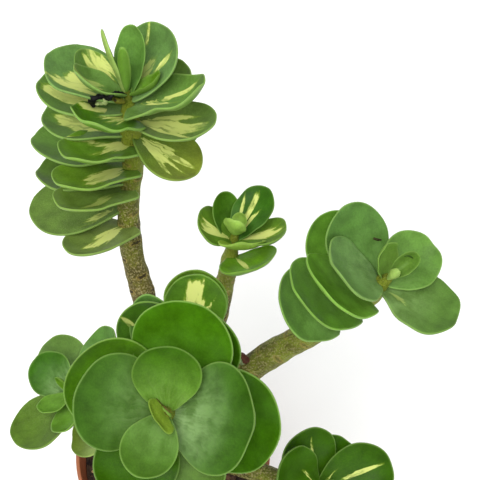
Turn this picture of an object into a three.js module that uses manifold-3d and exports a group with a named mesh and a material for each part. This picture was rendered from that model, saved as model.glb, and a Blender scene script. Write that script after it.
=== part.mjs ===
// A potted Portulaca molokiniensis: a branched succulent with thick round leaves, in a plastic pot.
// Millimetres, +Z up. The origin is the middle of the pot's underside, and the viewer stands at -Y.

import * as THREE from 'three';
import { mergeVertices } from 'three/addons/utils/BufferGeometryUtils.js';
import Module from 'manifold-3d';

const wasm = await Module();
wasm.setup();

// Driving dimensions of the pot
const POT_HEIGHT = 95;
const RIM_RADIUS = 52.5;
const LIP_WIDTH = 2;
const COLLAR_HEIGHT = 14;
const COLLAR_STEP = 1.8;
const BASE_RADIUS = 37;
const WALL = 1.4;
const FLOOR = 2;
const DRAIN_HOLES = 6;
const DRAIN_RADIUS = 3.5;
const DRAIN_CIRCLE = 24;
const POT_SIDES = 40;

// Driving dimensions of the soil
const SOIL_DEPTH_BELOW_RIM = 11;
const SOIL_ROUGHNESS = 1;
const SEAT_GAP = 0.3;

// The stem's foot stands in a plain hole in the soil
const FOOT_DEPTH = 30;
const FOOT_RADIUS = 9;
const FOOT_PLACE = [3, 8];
const STEM_SIDES = 10;
const STEM_STEP = 10;
const TIP_TAPER = 16;
const TIP_SHARE = 0.35;

// Leaf form
const LEAF_THICKNESS = 2.2;
const EDGE_THICKNESS = 1.2;
const WIDEST_AT = 0.56;
const BASE_WIDTH = 0.22;
const ROOT_DEPTH = 0.4;
const CLASPING = 0.8;
const FLAT_BASE = 0.5;
const FULL_BODY_WIDTH = 30;

const SOIL_TOP = POT_HEIGHT - SOIL_DEPTH_BELOW_RIM;
const TURN = Math.PI / 180;

// Each shoot: its route from the foot to the growing tip, the radius of the wood at the foot and at
// the tip, and how far below the tip the green head begins.
// Each leaf: mm below the tip, degrees round the stem from +X, degrees above square to the stem,
// length, width, depth of the bowl as a share of the length, and degrees of twist on its midrib. A
// last value, where there is one, is the share of its width that a broad base has. A base at least
// as broad as CLASPING lies flat against the stem and starts at the stem's middle.
const SHOOTS = [
  {
    name: 'tall_shoot',
    route: [[0, 8, 88], [-6, 36, 125], [-13, 60, 160], [-18, 76, 183], [-19, 88, 203], [-15, 101, 230], [-15, 114, 270]],
    radii: [7.5, 4.5],
    head: 86,
    leaves: [
      [3, 146, 65, 32, 11, 0.07, 48],
      [1, 260, 82, 25, 6, 0.1, 0],
      [4, 71, 62, 33, 15, 0.16, 0],
      [3.5, 359, 23, 18.5, 8, 0.3, 0],
      [5, 159, 28, 29.5, 21, 0.2, 0],
      [3, 201, 30, 29, 20, 0.2, 2],
      [7, 48, 41, 37.5, 32, 0.14, 0],
      [7, 151, 8, 42.5, 36, 0.16, 5],
      [10, 344, 14, 41, 26.5, 0.24, -1, 0.85],
      [12, 35, 12, 33, 28, 0.14, 0],
      [13.5, 160, 4, 44, 35, 0.12, 4],
      [16, 228, 20, 33, 30, 0.18, 0, 0.85],
      [18, 342, 2, 40.5, 30, 0.16, 0],
      [26, 161, -3, 43, 35, 0.12, 4],
      [31, 219, 8, 39, 28.5, 0.16, 4, 0.85],
      [26, 336, -25, 34.5, 32, 0.1, 0],
      [41, 163, -6, 49, 37, 0.12, 2],
      [45.5, 219, 0, 43, 28, 0.14, 8, 0.85],
      [36, 40, 0, 34, 32, 0.12, 0],
      [55, 166, -14, 45.5, 38, 0.12, 0],
      [57.5, 219, -6, 42, 27.5, 0.14, 6, 0.85],
      [70, 166, -15, 49, 39, 0.08, -20],
      [79, 226, -6, 38, 29, 0.12, 3, 0.85],
    ],
  },
  {
    name: 'middle_shoot',
    route: [[4, 10, 90], [14, 34, 112], [24, 56, 142], [28, 66, 164], [34, 82, 193]],
    radii: [6.5, 4.6],
    head: 20,
    leaves: [
      [1, 250, 50, 14, 12, 0.2, 0],
      [1, 70, 62, 11, 8, 0.2, 0],
      [4, 49, 46, 30, 21.5, 0.14, 0],
      [5, 180, 20, 22, 26, 0.2, -12],
      [5, 354, 19, 26.7, 24.5, 0.2, 2],
      [8, 122, 46, 26.5, 17.5, 0.16, 0],
      [6, 290, 22, 18, 25, 0.2, 0],
      [14, 307, 8.5, 23, 32.5, 0.25, 11],
    ],
  },
  {
    name: 'right_shoot',
    route: [[6, 10, 90], [23, 25, 108], [44, 36, 130], [58, 40, 144], [72, 42, 160], [89, 42, 191], [105, 43, 222]],
    radii: [8, 6.2],
    head: 58,
    leaves: [
      [1, 45, 44, 17, 10, 0.5, 0],
      [1, 235, 66, 9, 7, 0.4, 0],
      [4, 126, 42, 19, 15, 0.25, 0],
      [7, 42, 25, 30, 29, 0.16, 0],
      [12, 131, 18, 40, 35, 0.14, -14],
      [9, 333, 18, 38, 34, 0.1, 0],
      [6, 186, 14, 35, 36, 0.1, 13],
      [17, 42, 10, 30, 28, 0.16, 0],
      [20, 133, 8, 41, 34, 0.14, -20],
      [18, 197, 17, 41, 40, 0.11, 18, 0.6],
      [27, 194, 11, 43.5, 41, 0.11, 11, 0.6],
      [39, 188, 7, 41, 38, 0.11, -8, 0.6],
    ],
  },
  {
    name: 'front_shoot',
    route: [[3, 8, 90], [7, 24, 125], [10, 36, 150], [12, 36, 168], [11, 25, 183], [8, 7, 196], [6, -10, 209], [5, -22, 223], [5, -28, 237]],
    radii: [8, 5.4],
    head: 96,
    leaves: [
      [1, 212, 50, 10.5, 17, 0.2, 0, 0.85],
      [1, 42, 80, 5.5, 6, 0.2, 0],
      [4, 88, 20, 29.5, 30, 0.12, 0],
      [5, 246, 27, 32, 24, 0.12, 0],
      [9, 167, 21, 41, 41.5, 0.12, 0],
      [10, 354, 18, 39, 48, 0.12, 0],
      [16, 238, 14, 42, 37, 0.12, 0],
      [18, 286, 12, 43, 38, 0.12, 0],
      [20, 77, 3.5, 49.5, 44, 0.12, -4],
      [25, 154, 10.5, 46, 45, 0.12, 0],
      [27, 352, 12, 49.5, 49, 0.12, -1],
      [33, 72, 4, 46.5, 46, 0.12, 0],
      [38, 103, -2, 47, 24, 0.06, 0],
      [44, 106, 5, 48, 33, 0.12, 2],
      [77, 78, 6, 39.5, 30, 0.12, 0],
      [84, 80, 4, 36.5, 31, 0.12, 0],
    ],
  },
  {
    name: 'left_shoot',
    route: [[-1, 6, 91], [-18, 8, 108], [-37, 11, 128], [-52, 14, 151]],
    radii: [6, 4],
    head: 50,
    leaves: [
      [1, 60, 62, 10, 7, 0.2, 0],
      [2, 240, 24, 17, 17, 0.16, 0],
      [5, 128, 22, 26, 24, 0.16, 0],
      [6, 286, 14, 28, 21, 0.16, 0],
      [9, 213, 6, 36, 33, 0.14, 0],
      [11, 47, 8, 39, 26, 0.14, 0],
      [14, 112, 15, 37, 31, 0.14, 0],
      [44, 185, 12, 30, 28, 0.12, 0],
    ],
  },
  {
    name: 'low_shoot',
    route: [[6, 4, 90], [28, -7, 102], [52, -18, 110], [68, -26, 118], [77, -32, 137]],
    radii: [6.5, 4.2],
    head: 30,
    leaves: [
      [1, 110, 66, 12, 9, 0.2, 0],
      [1, 290, 66, 12, 9, 0.2, 0],
      [4, 160, 22, 34, 30, 0.16, 0],
      [5, 20, 22, 38, 32, 0.16, 0],
      [8, 114, 18, 33, 31, 0.16, 0],
      [9, 290, 18, 29, 28, 0.16, 0],
      [13, 58, 12, 29, 28, 0.16, 0],
      [14, 205, 10, 30, 28, 0.16, 0],
      [19, 335, 8, 30, 28, 0.16, 0],
    ],
  },
];

// Solids in and out of the boolean library

function solidOf(geometry) {
  geometry.deleteAttribute('normal');
  geometry.deleteAttribute('uv');
  const merged = mergeVertices(geometry, 1e-4);
  return new wasm.Manifold(new wasm.Mesh({
    numProp: 3,
    vertProperties: merged.attributes.position.array,
    triVerts: new Uint32Array(merged.index.array),
  }));
}

function geometryOf(solid) {
  const mesh = solid.getMesh();
  const geometry = new THREE.BufferGeometry();
  geometry.setAttribute('position', new THREE.BufferAttribute(mesh.vertProperties, 3));
  geometry.setIndex(new THREE.BufferAttribute(mesh.triVerts, 1));
  const faceted = geometry.toNonIndexed();
  faceted.computeVertexNormals();
  return faceted;
}

function indexed(points, faces) {
  const geometry = new THREE.BufferGeometry();
  geometry.setAttribute('position', new THREE.Float32BufferAttribute(points.flatMap((p) => [p.x, p.y, p.z]), 3));
  geometry.setIndex(faces.flat());
  return geometry;
}

// A skin through rings of equal count, closed at both ends by a fan to its middle point.
function loft(rings) {
  const count = rings[0].length;
  const points = rings.flat();
  const faces = [];
  for (let r = 0; r + 1 < rings.length; r += 1) {
    for (let s = 0; s < count; s += 1) {
      const a = r * count + s;
      const b = r * count + ((s + 1) % count);
      faces.push([a, b, b + count], [a, b + count, a + count]);
    }
  }
  const last = (rings.length - 1) * count;
  const centre = (ring) => ring.reduce((sum, p) => sum.add(p), new THREE.Vector3()).divideScalar(count);
  points.push(centre(rings[0]), centre(rings[rings.length - 1]));
  for (let s = 0; s < count; s += 1) {
    const next = (s + 1) % count;
    faces.push([next, s, points.length - 2], [last + s, last + next, points.length - 1]);
  }
  return indexed(points, faces);
}

// Pot

function potSolid() {
  const collarFoot = POT_HEIGHT - COLLAR_HEIGHT;
  const bodyTop = RIM_RADIUS - LIP_WIDTH;
  const slope = (bodyTop - COLLAR_STEP - BASE_RADIUS) / collarFoot;
  const outer = (z) => BASE_RADIUS + slope * z;
  const profile = [
    [0, 0],
    [BASE_RADIUS - 1.5, 0],
    [BASE_RADIUS, 1.5],
    [outer(collarFoot), collarFoot],
    [RIM_RADIUS - 1.2, collarFoot],
    [RIM_RADIUS - 0.6, POT_HEIGHT - 3],
    [RIM_RADIUS, POT_HEIGHT - 2.4],
    [RIM_RADIUS, POT_HEIGHT - 0.6],
    [RIM_RADIUS - 0.6, POT_HEIGHT],
    [RIM_RADIUS - LIP_WIDTH + 0.4, POT_HEIGHT],
    [RIM_RADIUS - LIP_WIDTH, POT_HEIGHT - 0.5],
    [outer(collarFoot) - WALL, collarFoot - 3],
    [outer(FLOOR) - WALL, FLOOR],
    [0, FLOOR],
  ];
  let pot = solidOf(new THREE.LatheGeometry(profile.map(([r, z]) => new THREE.Vector2(r, z)), POT_SIDES)
    .rotateX(Math.PI / 2));
  for (let k = 0; k < DRAIN_HOLES; k += 1) {
    const angle = (k / DRAIN_HOLES) * 2 * Math.PI;
    const hole = new THREE.CylinderGeometry(DRAIN_RADIUS, DRAIN_RADIUS, 4 * FLOOR, 12).rotateX(Math.PI / 2);
    hole.translate(DRAIN_CIRCLE * Math.cos(angle), DRAIN_CIRCLE * Math.sin(angle), 0);
    pot = pot.subtract(solidOf(hole));
  }
  return pot;
}

// The pot's inside radius at a height, which the soil keeps clear of by the seat gap.
function insideRadius(z) {
  const collarFoot = POT_HEIGHT - COLLAR_HEIGHT;
  const top = RIM_RADIUS - LIP_WIDTH;
  const slope = (top - COLLAR_STEP - BASE_RADIUS) / collarFoot;
  const knee = collarFoot - 3;
  const kneeRadius = BASE_RADIUS + slope * collarFoot - WALL;
  if (z >= knee) {
    return kneeRadius + ((top - kneeRadius) * (z - knee)) / (POT_HEIGHT - 0.5 - knee);
  }
  const foot = BASE_RADIUS + slope * FLOOR - WALL;
  return foot + ((kneeRadius - foot) * (z - FLOOR)) / (knee - FLOOR);
}

// Soil

function soilHeight(x, y) {
  return SOIL_TOP + SOIL_ROUGHNESS * (0.6 * Math.sin(x / 5) * Math.cos(y / 6) + 0.4 * Math.sin((x + 2 * y) / 4));
}

function soilSolid() {
  const sides = 36;
  const ringAt = (radius, height) => Array.from({ length: sides }, (_, s) => {
    const angle = (s / sides) * 2 * Math.PI;
    const x = radius * Math.cos(angle);
    const y = radius * Math.sin(angle);
    return new THREE.Vector3(x, y, height === null ? soilHeight(x, y) : height);
  });
  const chord = Math.cos(Math.PI / sides) * Math.cos(Math.PI / POT_SIDES);
  const inside = (z) => (insideRadius(z) - SEAT_GAP) * chord;
  const knee = POT_HEIGHT - COLLAR_HEIGHT - 3;
  const rings = [ringAt(inside(FLOOR), FLOOR + SEAT_GAP), ringAt(inside(knee), knee)];
  const edge = inside(SOIL_TOP);
  for (const share of [1, 0.84, 0.68, 0.52, 0.36, 0.18]) {
    rings.push(ringAt(edge * share, null));
  }
  const block = solidOf(loft(rings));
  const hole = new THREE.CylinderGeometry(FOOT_RADIUS + SEAT_GAP, FOOT_RADIUS + SEAT_GAP, FOOT_DEPTH + 20, 20);
  hole.rotateX(Math.PI / 2);
  hole.translate(FOOT_PLACE[0], FOOT_PLACE[1], SOIL_TOP - FOOT_DEPTH + (FOOT_DEPTH + 20) / 2);
  return block.subtract(solidOf(hole));
}

// Stems

function routeOf(shoot) {
  return new THREE.CatmullRomCurve3(shoot.route.map((p) => new THREE.Vector3(...p)), false, 'centripetal');
}

// The stem's direction and two directions square to it, the first as near +X as can be.
function frameAt(curve, share) {
  const along = curve.getTangentAt(share);
  const side = new THREE.Vector3(1, 0, 0).addScaledVector(along, -along.x).normalize();
  return { middle: curve.getPointAt(share), along, side, back: along.clone().cross(side) };
}

function stemRing(curve, share, radius) {
  const { middle, side, back } = frameAt(curve, share);
  return Array.from({ length: STEM_SIDES }, (_, s) => {
    const angle = (s / STEM_SIDES) * 2 * Math.PI;
    return middle.clone().addScaledVector(side, radius * Math.cos(angle)).addScaledVector(back, radius * Math.sin(angle));
  });
}

// The stem thins steadily, and quickly over the soft tip.
function stemRadius(shoot, share, length) {
  const soft = Math.min(1, ((1 - share) * length) / TIP_TAPER);
  return THREE.MathUtils.lerp(shoot.radii[0], shoot.radii[1], share) * THREE.MathUtils.lerp(TIP_SHARE, 1, soft);
}

function stemPiece(shoot, from, to) {
  const curve = routeOf(shoot);
  const length = curve.getLength();
  const steps = Math.max(2, Math.round(((to - from) * length) / STEM_STEP));
  const rings = [];
  for (let k = 0; k <= steps; k += 1) {
    const share = from + ((to - from) * k) / steps;
    rings.push(stemRing(curve, share, stemRadius(shoot, share, length)));
  }
  return solidOf(loft(rings));
}

function woodySolid() {
  const height = FOOT_DEPTH + 12;
  const foot = new THREE.CylinderGeometry(FOOT_RADIUS, FOOT_RADIUS, height, 20).rotateX(Math.PI / 2);
  foot.translate(FOOT_PLACE[0], FOOT_PLACE[1], SOIL_TOP - FOOT_DEPTH + SEAT_GAP + height / 2);
  let wood = solidOf(foot);
  for (const shoot of SHOOTS) {
    const length = routeOf(shoot).getLength();
    wood = wood.add(stemPiece(shoot, 0, 1 - shoot.head / length));
  }
  return wood;
}

// Leaves

// The blade's stations from root to tip: how far along, and half the width there as a share.
function leafStations(baseWidth) {
  const stations = [];
  for (const part of [0, 0.36]) {
    const swell = Math.sin((part * Math.PI) / 2) ** 0.9;
    stations.push([part * WIDEST_AT, baseWidth + (1 - baseWidth) * swell]);
  }
  for (const degrees of [90, 62, 37, 14]) {
    stations.push([WIDEST_AT + (1 - WIDEST_AT) * Math.cos(degrees * TURN), Math.sin(degrees * TURN)]);
  }
  return stations;
}

const ACROSS = [-1, -0.45, 0.45, 1];

function leafSolid(curve, shoot, leaf) {
  const [below, round, lift, length, width, bowl, twist, baseWidth = BASE_WIDTH] = leaf;
  const stemLength = curve.getLength();
  const share = 1 - below / stemLength;
  const { middle, along, side, back } = frameAt(curve, share);
  const radius = stemRadius(shoot, share, stemLength);
  const out = side.clone().multiplyScalar(Math.cos(round * TURN)).addScaledVector(back, Math.sin(round * TURN));
  const midrib = out.clone().multiplyScalar(Math.cos(lift * TURN)).addScaledVector(along, Math.sin(lift * TURN));
  const face = along.clone().multiplyScalar(Math.cos(lift * TURN)).addScaledVector(out, -Math.sin(lift * TURN));
  const across = face.clone().cross(midrib);
  across.applyAxisAngle(midrib, twist * TURN);
  face.applyAxisAngle(midrib, twist * TURN);
  const clasps = baseWidth >= CLASPING;
  const root = middle.clone().addScaledVector(out, clasps ? 0 : radius * ROOT_DEPTH);
  const body = THREE.MathUtils.clamp(width / FULL_BODY_WIDTH, 0.6, 1);
  const rings = leafStations(baseWidth).map(([u, half]) => {
    const past = Math.max(0, (u - WIDEST_AT) / (1 - WIDEST_AT));
    const thick = (v) => (body * THREE.MathUtils.lerp(LEAF_THICKNESS, EDGE_THICKNESS, Math.max(v * v, past * past))) / 2;
    const at = (v, sign) => {
      const cup = clasps ? Math.min(1, u / FLAT_BASE) : 1;
      const rise = bowl * length * (0.75 * v * v * half * cup + past * past);
      return root.clone().addScaledVector(midrib, u * length)
        .addScaledVector(across, (v * half * width) / 2)
        .addScaledVector(face, rise + sign * thick(v));
    };
    return [...ACROSS.map((v) => at(v, 1)), ...ACROSS.slice().reverse().map((v) => at(v, -1))];
  });
  return solidOf(leafLoft(rings));
}

// Like loft, but its flat ends are laid in quads between the upper and the lower edge, and the under
// face is cut into triangles along the same diagonals as the upper face.
function leafLoft(rings) {
  const count = rings[0].length;
  const cells = ACROSS.length - 1;
  const points = rings.flat();
  const faces = [];
  for (let r = 0; r + 1 < rings.length; r += 1) {
    for (let s = 0; s < count; s += 1) {
      const a = r * count + s;
      const b = r * count + ((s + 1) % count);
      if (s <= cells) {
        faces.push([b, a, a + count], [b, a + count, b + count]);
      } else {
        faces.push([b, a, b + count], [a, a + count, b + count]);
      }
    }
  }
  const last = (rings.length - 1) * count;
  for (let c = 0; c < cells; c += 1) {
    const under = count - 1 - c;
    faces.push([c, c + 1, under], [c + 1, under - 1, under]);
    faces.push([last + c + 1, last + c, last + under], [last + under - 1, last + c + 1, last + under]);
  }
  return indexed(points, faces);
}

function shootSolid(shoot) {
  const curve = routeOf(shoot);
  const length = curve.getLength();
  const core = stemPiece(shoot, 1 - (shoot.head - SEAT_GAP) / length, 1);
  const leaves = shoot.leaves.map((leaf) => leafSolid(curve, shoot, leaf));
  return wasm.Manifold.union([core, ...leaves]);
}

// The whole plant in its pot

const plastic = new THREE.MeshStandardMaterial({ color: 0xad674d, roughness: 0.5, metalness: 0 });
const mix = new THREE.MeshStandardMaterial({ color: 0x1c120c, roughness: 1, metalness: 0 });
const bark = new THREE.MeshStandardMaterial({ color: 0x736446, roughness: 0.8, metalness: 0 });
const green = new THREE.MeshStandardMaterial({ color: 0x4f8a22, roughness: 0.45, metalness: 0 });

const group = new THREE.Group();

function addPiece(name, solid, material) {
  const mesh = new THREE.Mesh(geometryOf(solid), material);
  mesh.name = name;
  group.add(mesh);
}

addPiece('pot', potSolid(), plastic);
addPiece('soil', soilSolid(), mix);
addPiece('woody_stem', woodySolid(), bark);
for (const shoot of SHOOTS) {
  addPiece(shoot.name, shootSolid(shoot), green);
}

export default group;
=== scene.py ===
"""A potted Portulaca molokiniensis: round fleshy leaves stacked on thick bare stems, in a plastic pot.

Every length is in millimetres, with +Z up from the pot's underside, and turns to metres as each
mesh is made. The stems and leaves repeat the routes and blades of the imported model, only finer.
"""
import functools
import math

import bmesh
import bpy
import numpy as np
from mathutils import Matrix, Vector
from mathutils.kdtree import KDTree


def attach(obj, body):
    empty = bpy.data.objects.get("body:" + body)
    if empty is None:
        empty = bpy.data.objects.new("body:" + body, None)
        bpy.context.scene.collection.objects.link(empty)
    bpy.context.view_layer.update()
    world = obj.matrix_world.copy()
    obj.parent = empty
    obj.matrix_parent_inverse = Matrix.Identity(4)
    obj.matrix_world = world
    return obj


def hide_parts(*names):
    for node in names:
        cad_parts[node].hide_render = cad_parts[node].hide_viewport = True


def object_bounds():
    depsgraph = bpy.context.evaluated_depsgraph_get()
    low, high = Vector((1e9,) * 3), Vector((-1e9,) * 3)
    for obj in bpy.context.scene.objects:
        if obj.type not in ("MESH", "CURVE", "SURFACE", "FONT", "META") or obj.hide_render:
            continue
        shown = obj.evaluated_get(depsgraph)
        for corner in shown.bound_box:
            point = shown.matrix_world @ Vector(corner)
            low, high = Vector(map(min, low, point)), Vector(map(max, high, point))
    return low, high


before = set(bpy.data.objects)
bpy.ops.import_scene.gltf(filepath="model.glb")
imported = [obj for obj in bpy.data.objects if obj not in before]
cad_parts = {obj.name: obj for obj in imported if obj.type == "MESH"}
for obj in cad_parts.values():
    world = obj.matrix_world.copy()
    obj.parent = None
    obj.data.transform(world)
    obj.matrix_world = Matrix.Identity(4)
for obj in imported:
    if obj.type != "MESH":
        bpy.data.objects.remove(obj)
cad_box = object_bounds()

MM = 0.001
TURN = math.pi / 180
X_AXIS, Y_AXIS = np.array([1.0, 0, 0]), np.array([0, 1.0, 0])
BOX_GAP = 0.02

# Pot and soil

POT_HEIGHT = 95
RIM_RADIUS = 52.5
LIP_WIDTH = 2
COLLAR_HEIGHT = 14
COLLAR_STEP = 1.8
KNEE = POT_HEIGHT - COLLAR_HEIGHT - 3
BASE_RADIUS = 37
WALL = 1.4
FLOOR = 2
DRAIN_HOLES = 6
DRAIN_RADIUS = 3.5
DRAIN_CIRCLE = 24
POT_SIDES = 160
SOIL_TOP = 84
SEAT_GAP = 0.3
FOOT_PLACE = (3, 8)
FOOT_RADIUS = 9
FOOT_DEPTH = 30
SOIL_SIDES, SOIL_RINGS = 220, 70
CRUMBS = 620
GRIT_SHARE = 0.16
GRIT_SIZE = (0.45, 0.9)
CHIP_SIZE = (0.5, 1.9)

# Stems

ROUTE_STEPS = 200
STEM_SIDES = 30
STEM_VOXEL = 0.85
SOFT_TIP = 16
TIP_SHARE = 0.35
SCAR_SPACING = (7.5, 12)
SCRAP_SIDES = 12

# Leaf blades

# The rings of points are shares of the way to the edge, and then millimetres from it.
SEGMENTS = 64
INNER_RINGS = (0.16, 0.31, 0.45, 0.58, 0.7, 0.81, 0.91, 1.0)
RIM_RINGS = (2.0, 1.3, 0.8, 0.45, 0.2, 0.05, 0.0)
RIM_BAND = 2.6
RIM_ROUND = 0.8
SMALL_BLADE = 7
LEAF_THICKNESS = 2.2
EDGE_THICKNESS = 1.5
WIDEST_AT = 0.56
BASE_WIDTH = 0.22
LOBE_SHARE = 0.09
ROOT_DEPTH = 0.4
CLASPING = 0.8
FLAT_BASE = 0.5
UNEVEN = 0.012
WAVE = 0.22
DENT = 0.16
GROOVE_DEPTH, GROOVE_WIDTH = 0.5, 2.6
NO_FLAME = -30
# How far the white bloom and its painted sheen reach from the root, as a share of the length.
BLOOM_AND_SHEEN_REACH = 0.75
RAY_REACH = 0.6

# Floor, lamps and camera

FLOOR_REACH = 6000
# These places are in metres, as Blender has them.
LIT_POINT = (0.02, 0.04, 0.15)
CAMERA_PLACE = (0.0362, -0.1899, 0.6962)
CAMERA_TILT = 28
LENS = 86

# What the materials' nodes do

TINTED = {"data_type": "RGBA"}
TIMES, MINUS, TIMES_PLUS, SCALED = (
    {"operation": name} for name in ("MULTIPLY", "SUBTRACT", "MULTIPLY_ADD", "SCALE"))

# The stem of each shoot: its route from the soil to its tip, the radii of its foot and its tip, how
# much of it carries leaves, and how far below those its bark is ripe.

STEMS = {
    "tall_shoot": {
        "route": [(0, 8, 88), (-6, 36, 125), (-13, 60, 160), (-18, 76, 183), (-19, 88, 203),
                  (-15, 101, 230), (-15, 114, 270)],
        "radii": (7.5, 4.5), "head": 86, "ripe": 75,
    },
    "middle_shoot": {
        "route": [(4, 10, 90), (14, 34, 112), (24, 56, 142), (28, 66, 164), (34, 82, 193)],
        "radii": (6.5, 4.6), "head": 20, "ripe": 90,
    },
    "right_shoot": {
        "route": [(6, 10, 90), (23, 25, 108), (44, 36, 130), (58, 40, 144), (72, 42, 160),
                  (89, 42, 191), (105, 43, 222)],
        "radii": (8, 6.2), "head": 58, "ripe": 250,
    },
    "front_shoot": {
        "route": [(3, 8, 90), (7, 24, 125), (10, 36, 150), (12, 36, 168), (11, 25, 183), (8, 7, 196),
                  (6, -10, 209), (5, -22, 223), (5, -28, 237)],
        "radii": (8, 5.4), "head": 96, "ripe": 90,
    },
    "left_shoot": {
        "route": [(-1, 6, 91), (-18, 8, 108), (-37, 11, 128), (-52, 14, 151)],
        "radii": (6, 4), "head": 50, "ripe": 80,
    },
    "low_shoot": {
        "route": [(6, 4, 90), (28, -7, 102), (52, -18, 110), (68, -26, 118), (77, -32, 137)],
        "radii": (6.5, 4.2), "head": 30, "ripe": 80,
    },
}

# The leaves of each shoot, from its tip down. A row gives how far below the tip the leaf sits, its
# bearing round the stem, its lift, length, width, bowl and twist, its look and any cream flames. A
# flame has its bearing and spread in degrees from the leaf's own midrib, where it starts and ends
# as shares of the leaf's length, and how strong it is. A last value, after the flames, is the share
# of its width that a broad base has. A base at least as broad as CLASPING lies flat against the
# stem and starts at the stem's middle.

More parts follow.
